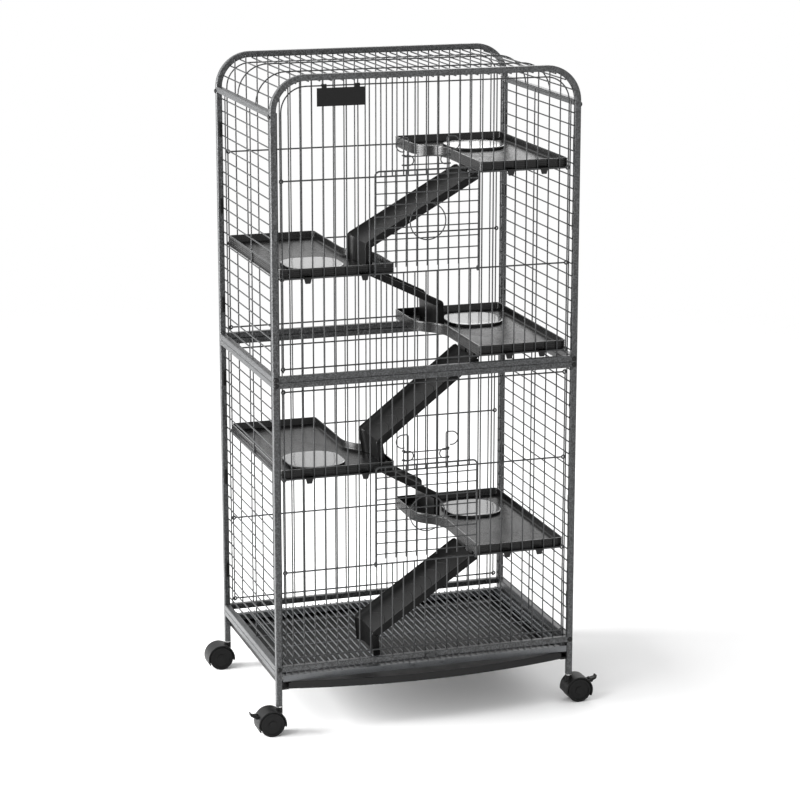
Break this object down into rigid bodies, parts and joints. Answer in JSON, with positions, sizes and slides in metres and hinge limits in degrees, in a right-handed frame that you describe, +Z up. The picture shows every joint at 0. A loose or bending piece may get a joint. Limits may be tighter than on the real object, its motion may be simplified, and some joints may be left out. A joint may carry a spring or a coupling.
{
  "type": "ferret cage",
  "caption": "Tall two-storey wire cage on castors with bent tube arches, joined shelves and ramps, drop-down doors, pull-out grate and waste tray",
  "frame": {"origin": "middle of the cage's footprint on the floor, tray front and castors included", "axes": "+X to the cage's right seen from the front, +Y to the back, +Z up"},
  "size_m": [0.74, 0.478, 1.313],
  "materials": {
    "frame_tube": "hammered powder coat",
    "wire": "satin powder coat",
    "moulded_plastic": "semi-matte",
    "black_plastic": "matte",
    "plate": "satin",
    "bright_steel": "plated",
    "bolt": "black",
    "caster_plastic": "semi-matte",
    "wheel": "smooth"
  },
  "bodies": {
    "frame": {"front_arch": "frame_tube", "rear_arch": "frame_tube", "front_left_upper_post": "frame_tube", "front_right_upper_post": "frame_tube", "rear_left_upper_post": "frame_tube", "rear_right_upper_post": "frame_tube", "front_left_lower_post": "frame_tube", "front_right_lower_post": "frame_tube", "rear_left_lower_post": "frame_tube", "rear_right_lower_post": "frame_tube", "top_side_rails": "frame_tube", "front_mid_bars": "frame_tube", "rear_mid_bars": "frame_tube", "left_mid_bars": "frame_tube", "right_mid_bars": "frame_tube", "front_bottom_bar": "frame_tube", "rear_bottom_bar": "frame_tube", "side_bottom_rails": "frame_tube", "frame_joiners": "black_plastic", "frame_bolts": "bolt", "panel_clips": "black_plastic", "front_upper_panel": "wire", "front_lower_panel": "wire", "rear_upper_panel": "wire", "rear_lower_panel": "wire", "left_upper_panel": "wire", "left_lower_panel": "wire", "right_upper_panel": "wire", "right_lower_panel": "wire", "top_panel": "wire", "name_plate": "plate", "shelf_1": "moulded_plastic", "shelf_2": "moulded_plastic", "shelf_3": "moulded_plastic", "shelf_4": "moulded_plastic", "shelf_5": "moulded_plastic", "tray_runners": "black_plastic", "caster_stems": "bright_steel"},
    "upper_door": {"upper_door": "wire"},
    "lower_door": {"lower_door": "wire"},
    "upper_door_latch": {"upper_door_latch": "wire"},
    "lower_door_latch": {"lower_door_latch": "wire"},
    "waste_tray": {"waste_tray": "black_plastic"},
    "floor_grate": {"floor_grate": "wire"},
    "tray_latch": {"tray_latch": "wire"},
    "ramp_1": {"ramp_1": "moulded_plastic"},
    "ramp_2": {"ramp_2": "moulded_plastic"},
    "ramp_3": {"ramp_3": "moulded_plastic"},
    "ramp_4": {"ramp_4": "moulded_plastic"},
    "ramp_5": {"ramp_5": "moulded_plastic"},
    "front_left_caster_hood": {"front_left_caster_hood": "caster_plastic"},
    "front_left_wheel": {"front_left_wheel": "wheel"},
    "front_right_caster_hood": {"front_right_caster_hood": "caster_plastic"},
    "front_right_wheel": {"front_right_wheel": "wheel"},
    "rear_left_caster_hood": {"rear_left_caster_hood": "caster_plastic"},
    "rear_left_wheel": {"rear_left_wheel": "wheel"},
    "rear_right_caster_hood": {"rear_right_caster_hood": "caster_plastic"},
    "rear_right_wheel": {"rear_right_wheel": "wheel"},
    "left_brake_lever": {"left_brake_lever": "caster_plastic"},
    "right_brake_lever": {"right_brake_lever": "caster_plastic"}
  },
  "joints": [
    {"name": "upper_door_hinge", "type": "hinge", "parent": "frame", "child": "upper_door", "pos_m": [0, -0.1935, 0.92], "axis": [1, 0, 0], "range_deg": [0, 150]},
    {"name": "lower_door_hinge", "type": "hinge", "parent": "frame", "child": "lower_door", "pos_m": [0, -0.1935, 0.33103], "axis": [1, 0, 0], "range_deg": [0, 150]},
    {"name": "upper_latch_lift", "type": "slide", "parent": "frame", "child": "upper_door_latch", "axis": [0, 0, 1], "range_m": [0, 0.014]},
    {"name": "lower_latch_lift", "type": "slide", "parent": "frame", "child": "lower_door_latch", "axis": [0, 0, 1], "range_m": [0, 0.014]},
    {"name": "tray_slide", "type": "slide", "parent": "frame", "child": "waste_tray", "axis": [0, -1, 0], "range_m": [0, 0.38]},
    {"name": "grate_slide", "type": "slide", "parent": "frame", "child": "floor_grate", "axis": [0, -1, 0], "range_m": [0, 0.38]},
    {"name": "tray_latch_turn", "type": "hinge", "parent": "frame", "child": "tray_latch", "pos_m": [0, -0.2058, 0.134], "axis": [0, 1, 0], "range_deg": [0, 90]},
    {"name": "ramp_1_lift", "type": "hinge", "parent": "frame", "child": "ramp_1", "pos_m": [0.118, -0.107, 1.10101], "axis": [0, 1, 0], "range_deg": [0, 20]},
    {"name": "ramp_2_lift", "type": "hinge", "parent": "frame", "child": "ramp_2", "pos_m": [-0.118, 0.128, 0.911], "axis": [0, -1, 0], "range_deg": [0, 20]},
    {"name": "ramp_3_lift", "type": "hinge", "parent": "frame", "child": "ramp_3", "pos_m": [0.118, -0.107, 0.734], "axis": [0, 1, 0], "range_deg": [0, 20]},
    {"name": "ramp_4_lift", "type": "hinge", "parent": "frame", "child": "ramp_4", "pos_m": [-0.118, 0.128, 0.51198], "axis": [0, -1, 0], "range_deg": [0, 20]},
    {"name": "ramp_5_lift", "type": "hinge", "parent": "frame", "child": "ramp_5", "pos_m": [0.118, -0.107, 0.32203], "axis": [0, 1, 0], "range_deg": [0, 20]},
    {"name": "front_left_swivel", "type": "hinge", "parent": "frame", "child": "front_left_caster_hood", "pos_m": [-0.309, -0.198, 0.052], "axis": [0, 0, 1], "continuous": true},
    {"name": "front_left_roll", "type": "hinge", "parent": "front_left_caster_hood", "child": "front_left_wheel", "pos_m": [-0.327, -0.198, 0.025], "axis": [0, 1, 0], "continuous": true},
    {"name": "front_right_swivel", "type": "hinge", "parent": "frame", "child": "front_right_caster_hood", "pos_m": [0.309, -0.198, 0.052], "axis": [0, 0, 1], "continuous": true},
    {"name": "front_right_roll", "type": "hinge", "parent": "front_right_caster_hood", "child": "front_right_wheel", "pos_m": [0.327, -0.198, 0.025], "axis": [0, 1, 0], "continuous": true},
    {"name": "rear_left_swivel", "type": "hinge", "parent": "frame", "child": "rear_left_caster_hood", "pos_m": [-0.309, 0.219, 0.052], "axis": [0, 0, 1], "continuous": true},
    {"name": "rear_left_roll", "type": "hinge", "parent": "rear_left_caster_hood", "child": "rear_left_wheel", "pos_m": [-0.327, 0.219, 0.025], "axis": [0, 1, 0], "continuous": true},
    {"name": "rear_right_swivel", "type": "hinge", "parent": "frame", "child": "rear_right_caster_hood", "pos_m": [0.309, 0.219, 0.052], "axis": [0, 0, 1], "continuous": true},
    {"name": "rear_right_roll", "type": "hinge", "parent": "rear_right_caster_hood", "child": "rear_right_wheel", "pos_m": [0.327, 0.219, 0.025], "axis": [0, 1, 0], "continuous": true},
    {"name": "left_brake_press", "type": "hinge", "parent": "front_left_caster_hood", "child": "left_brake_lever", "pos_m": [-0.357, -0.198, 0.0405], "axis": [0, -1, 0], "range_deg": [0, 18]},
    {"name": "right_brake_press", "type": "hinge", "parent": "front_right_caster_hood", "child": "right_brake_lever", "pos_m": [0.357, -0.198, 0.0405], "axis": [0, 1, 0], "range_deg": [0, 18]}
  ]
}
